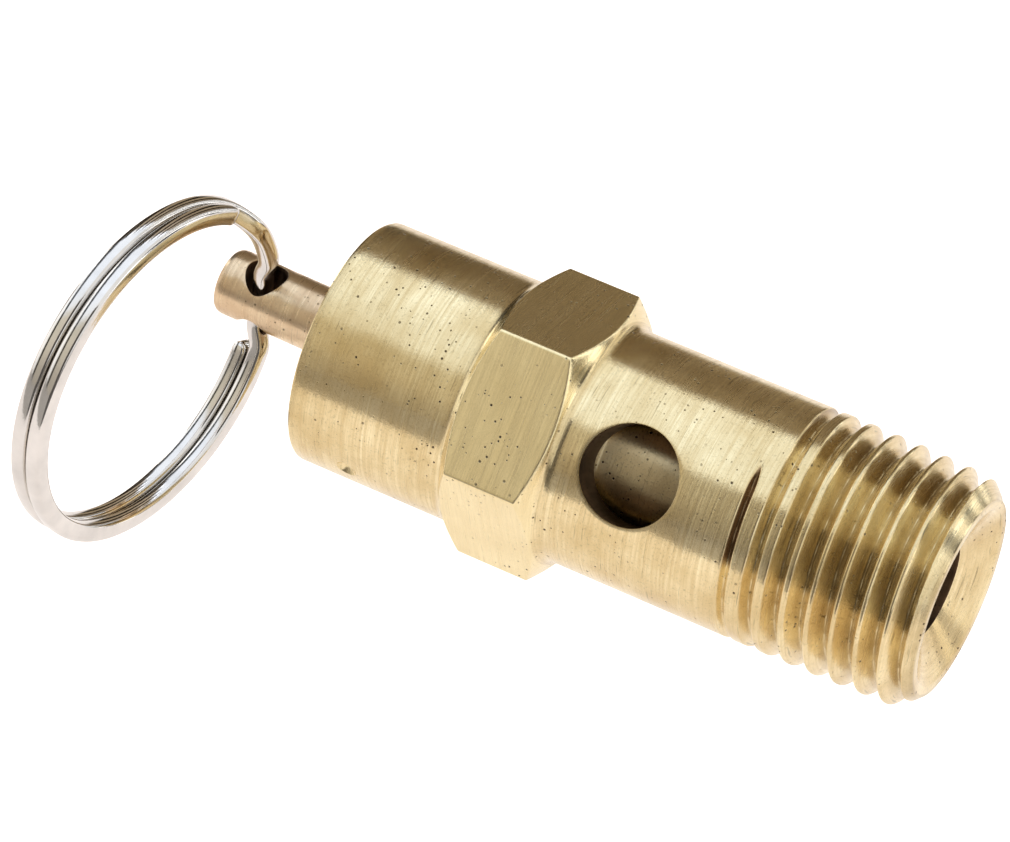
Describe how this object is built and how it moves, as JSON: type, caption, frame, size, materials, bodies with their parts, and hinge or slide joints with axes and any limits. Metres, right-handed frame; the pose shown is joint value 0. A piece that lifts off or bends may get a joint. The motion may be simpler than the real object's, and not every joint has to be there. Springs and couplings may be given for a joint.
{
  "type": "pressure relief valve",
  "caption": "Small brass pull-ring pressure relief valve: taper-threaded inlet, wrench hexagon, side discharge port, spring housing, pull stem and split ring.",
  "frame": {"origin": "centre of the inlet's end face, on the valve's axis", "axes": "+X along the valve's axis out of the inlet, so the body and the pull ring lie towards -X; +Z is the normal of one wrench flat; -Y is the side that the pull ring is stored on"},
  "size_m": [0.0462, 0.0284, 0.0202],
  "materials": {
    "brass_body": "fine-turned, bright",
    "rubber_seal": "matt",
    "brass_piston": "turned",
    "clip_steel": "satin",
    "spring_steel": "drawn wire",
    "washer_steel": "stamped, satin",
    "brass_screw": "turned",
    "brass_stem": "drawn, satin",
    "ring_plating": "bright nickel plate"
  },
  "bodies": {
    "housing": {"body": "brass_body", "adjusting_screw": "brass_screw", "spring_washer": "washer_steel", "spring": "spring_steel"},
    "disc_holder": {"piston": "brass_piston", "seal_disc": "rubber_seal", "stem_clip": "clip_steel"},
    "pull_stem": {"stem": "brass_stem"},
    "ring": {"split_ring": "ring_plating"}
  },
  "joints": [
    {"name": "piston_lift", "type": "slide", "parent": "housing", "child": "disc_holder", "axis": [-1, 0, 0], "range_m": [0, 0.0018], "stiffness_N_per_m": 6500, "springref_m": -0.0035, "deforming": ["spring"]},
    {"name": "stem_turn", "type": "hinge", "parent": "disc_holder", "child": "pull_stem", "pos_m": [-0.0173, 0, 0], "axis": [0.9997, 0, -0.0227], "continuous": true},
    {"name": "ring_swing", "type": "hinge", "parent": "pull_stem", "child": "ring", "pos_m": [-0.04219, -0.0005, 0.00056], "axis": [0.0227, 0, 0.9997], "range_deg": [-222, 66]}
  ]
}
